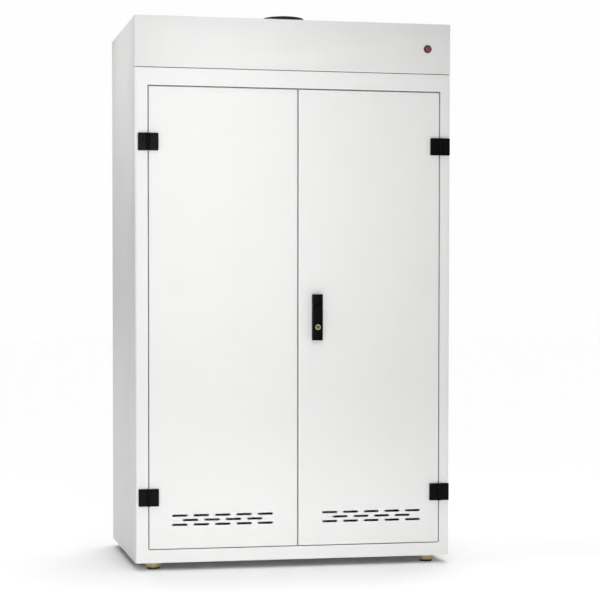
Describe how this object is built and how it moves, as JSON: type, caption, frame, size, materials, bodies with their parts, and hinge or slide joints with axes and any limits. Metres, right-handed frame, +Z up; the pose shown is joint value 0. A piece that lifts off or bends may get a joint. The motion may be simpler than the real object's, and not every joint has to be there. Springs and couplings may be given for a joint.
{
  "type": "chemical storage cabinet",
  "caption": "Tall white steel cabinet with twin hinged doors, lever lock, vent slots, tray shelves, spill tray and a roof fan outlet.",
  "frame": {"origin": "centre of the whole cabinet's box in plan, on the floor under the feet", "axes": "+X to the right seen from the doors, +Y to the back, +Z up"},
  "size_m": [1.115, 0.7236, 1.937],
  "materials": {
    "white_powder_coat": "satin white powder coat",
    "black_hardware": "black satin coat on cast metal",
    "black_plastic": "matt black",
    "black_rubber": "matt",
    "gold_passivated_steel": "yellow-gold passivated zinc, iridescent",
    "plain_steel": "bright zinc",
    "brass": "nickelled brass",
    "red_button": "translucent red cap",
    "dark_bezel": "dark maroon"
  },
  "bodies": {
    "cabinet": {"front_frame": "white_powder_coat", "header_panel": "white_powder_coat", "left_side_panel": "white_powder_coat", "right_side_panel": "white_powder_coat", "back_panel": "white_powder_coat", "roof_panel": "white_powder_coat", "ceiling_panel": "white_powder_coat", "floor_pan": "white_powder_coat", "upright_front_left": "white_powder_coat", "upright_rear_left": "white_powder_coat", "upright_front_right": "white_powder_coat", "upright_rear_right": "white_powder_coat", "shelf_lower": "white_powder_coat", "shelf_middle": "white_powder_coat", "shelf_upper": "white_powder_coat", "spill_tray": "white_powder_coat", "door_gasket": "black_rubber", "outlet_collar": "black_hardware", "fan_housing": "plain_steel", "fan_motor": "black_plastic", "power_inlet": "black_plastic", "switch_housing": "dark_bezel", "foot_pad_front_left": "black_rubber", "foot_pad_back_left": "black_rubber", "foot_pad_front_right": "black_rubber", "foot_pad_back_right": "black_rubber", "foot_cup_front_left": "gold_passivated_steel", "foot_cup_back_left": "gold_passivated_steel", "foot_cup_front_right": "gold_passivated_steel", "foot_cup_back_right": "gold_passivated_steel", "hinge_upper_left_frame_leaf": "black_hardware", "hinge_lower_left_frame_leaf": "black_hardware", "hinge_upper_right_frame_leaf": "black_hardware", "hinge_lower_right_frame_leaf": "black_hardware", "hinge_upper_left_pin": "plain_steel", "hinge_lower_left_pin": "plain_steel", "hinge_upper_right_pin": "plain_steel", "hinge_lower_right_pin": "plain_steel"},
    "left_door": {"left_door_skin": "white_powder_coat", "left_door_liner": "white_powder_coat", "hinge_upper_left_door_leaf": "black_hardware", "hinge_lower_left_door_leaf": "black_hardware"},
    "right_door": {"right_door_skin": "white_powder_coat", "right_door_liner": "white_powder_coat", "hinge_upper_right_door_leaf": "black_hardware", "hinge_lower_right_door_leaf": "black_hardware", "handle_plate": "black_hardware", "gearbox_cover": "plain_steel"},
    "spindle": {"spindle_head": "black_hardware", "drive_pinion": "plain_steel", "lever_pin": "plain_steel"},
    "lever": {"lever": "black_hardware"},
    "lock_cylinder": {"lock_cylinder": "brass"},
    "lock_rod_upper": {"lock_rod_upper": "plain_steel"},
    "lock_rod_lower": {"lock_rod_lower": "plain_steel"},
    "slide_bolt_upper": {"slide_bolt_upper": "plain_steel"},
    "slide_bolt_lower": {"slide_bolt_lower": "plain_steel"},
    "fan_impeller": {"fan_impeller": "black_plastic"},
    "switch_button": {"switch_button": "red_button"}
  },
  "joints": [
    {"name": "left_door_swing", "type": "hinge", "parent": "cabinet", "child": "left_door", "pos_m": [-0.5125, -0.3457, 0.827], "axis": [0, 0, -1], "range_deg": [0, 180]},
    {"name": "right_door_swing", "type": "hinge", "parent": "cabinet", "child": "right_door", "pos_m": [0.5205, -0.3457, 0.827], "axis": [0, 0, 1], "range_deg": [0, 180]},
    {"name": "lever_turn", "type": "hinge", "parent": "right_door", "child": "spindle", "pos_m": [0.077, -0.3528, 0.931], "axis": [0, -1, 0], "range_deg": [0, 90]},
    {"name": "lever_pull", "type": "hinge", "parent": "spindle", "child": "lever", "pos_m": [0.077, -0.3528, 0.911], "axis": [-1, 0, 0], "range_deg": [0, 30]},
    {"name": "key_turn", "type": "hinge", "parent": "lever", "child": "lock_cylinder", "pos_m": [0.077, -0.3528, 0.837], "axis": [0, -1, 0], "range_deg": [0, 90]},
    {"name": "upper_rod_slide", "type": "slide", "parent": "right_door", "child": "lock_rod_upper", "axis": [0, 0, 1], "range_m": [0, 0.019]},
    {"name": "lower_rod_slide", "type": "slide", "parent": "right_door", "child": "lock_rod_lower", "axis": [0, 0, -1], "range_m": [0, 0.019]},
    {"name": "upper_bolt_slide", "type": "slide", "parent": "left_door", "child": "slide_bolt_upper", "axis": [0, 0, 1], "range_m": [0, 0.015]},
    {"name": "lower_bolt_slide", "type": "slide", "parent": "left_door", "child": "slide_bolt_lower", "axis": [0, 0, -1], "range_m": [0, 0.015]},
    {"name": "fan_spin", "type": "hinge", "parent": "cabinet", "child": "fan_impeller", "pos_m": [0, -0.1232, 1.7815], "axis": [0, 0, 1], "continuous": true},
    {"name": "button_press", "type": "slide", "parent": "cabinet", "child": "switch_button", "axis": [0, 1, 0], "range_m": [0, 0.003], "stiffness_N_per_m": 500}
  ],
  "couplings": [
    {"joint": "upper_rod_slide", "follows": "lever_turn", "m_per_rad": 0.012},
    {"joint": "lower_rod_slide", "follows": "lever_turn", "m_per_rad": 0.012}
  ]
}
